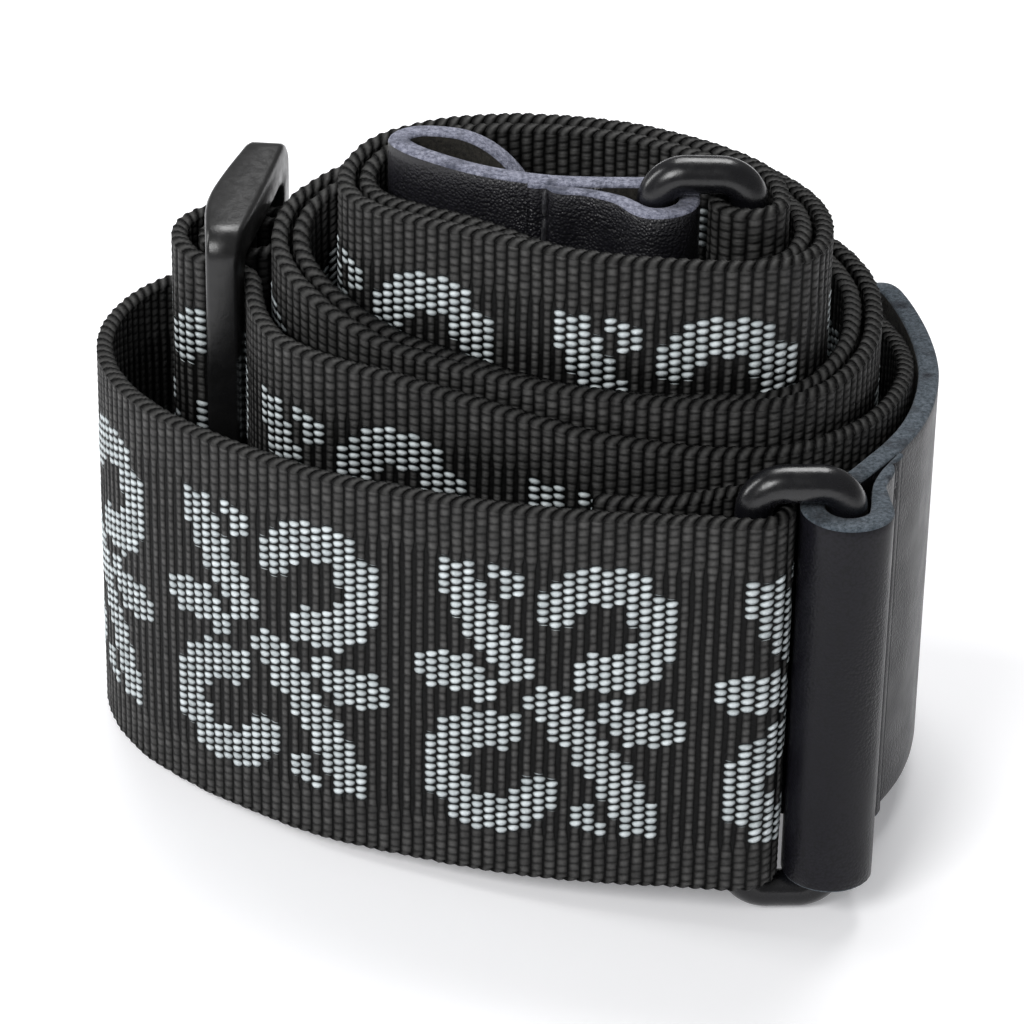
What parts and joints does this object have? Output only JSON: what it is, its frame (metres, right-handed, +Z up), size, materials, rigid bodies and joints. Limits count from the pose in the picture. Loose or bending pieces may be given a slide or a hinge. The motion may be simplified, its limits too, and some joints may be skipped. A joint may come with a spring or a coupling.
{
  "type": "guitar strap",
  "caption": "Adjustable woven guitar strap rolled into a raised oval coil, with leather end tabs on plastic rings and a three-bar slider.",
  "frame": {"origin": "middle of the object's box at the height of the surface it stands on", "axes": "+Z up, the webbing's width upright; -Y towards the side where the outer ring and the outer turn are seen; +X towards the leather tab's side"},
  "size_m": [0.0986, 0.0723, 0.0848],
  "materials": {
    "webbing": "ribbed weave with raised silver figure",
    "ring": "gloss",
    "slider": "satin",
    "leather": "fine grain, cut edges undyed",
    "thread": "waxed thread"
  },
  "bodies": {
    "strap": {"webbing": "webbing", "loop_stitching": "thread", "slider_end_stitching": "thread"},
    "adjuster": {"slider": "slider"},
    "outer_loop": {"outer_ring": "ring"},
    "outer_tab": {"outer_leather_tab": "leather", "outer_tab_stitching": "thread"},
    "inner_loop": {"inner_ring": "ring"},
    "inner_tab": {"inner_leather_tab": "leather", "inner_tab_stitching": "thread"}
  },
  "joints": [
    {"name": "outer_ring_swivel", "type": "hinge", "parent": "strap", "child": "outer_loop", "pos_m": [0.02695, -0.03138, 0.0293], "axis": [0, 0, -1], "range_deg": [0, 80]},
    {"name": "outer_tab_hinge", "type": "hinge", "parent": "outer_loop", "child": "outer_tab", "pos_m": [0.03734, -0.03084, 0.0293], "axis": [0, 0, -1], "range_deg": [0, 80]},
    {"name": "inner_ring_swivel", "type": "hinge", "parent": "strap", "child": "inner_loop", "pos_m": [0.02605, -0.00838, 0.0555], "axis": [0, 0, -1], "range_deg": [0, 1]},
    {"name": "inner_tab_hinge", "type": "hinge", "parent": "inner_loop", "child": "inner_tab", "pos_m": [0.01565, -0.00838, 0.0555], "axis": [0, 0, 1], "range_deg": [0, 3]},
    {"name": "slider_rock", "type": "hinge", "parent": "strap", "child": "adjuster", "pos_m": [-0.03225, 0.01372, 0.038], "axis": [0, 0, -1], "range_deg": [0, 3]}
  ]
}
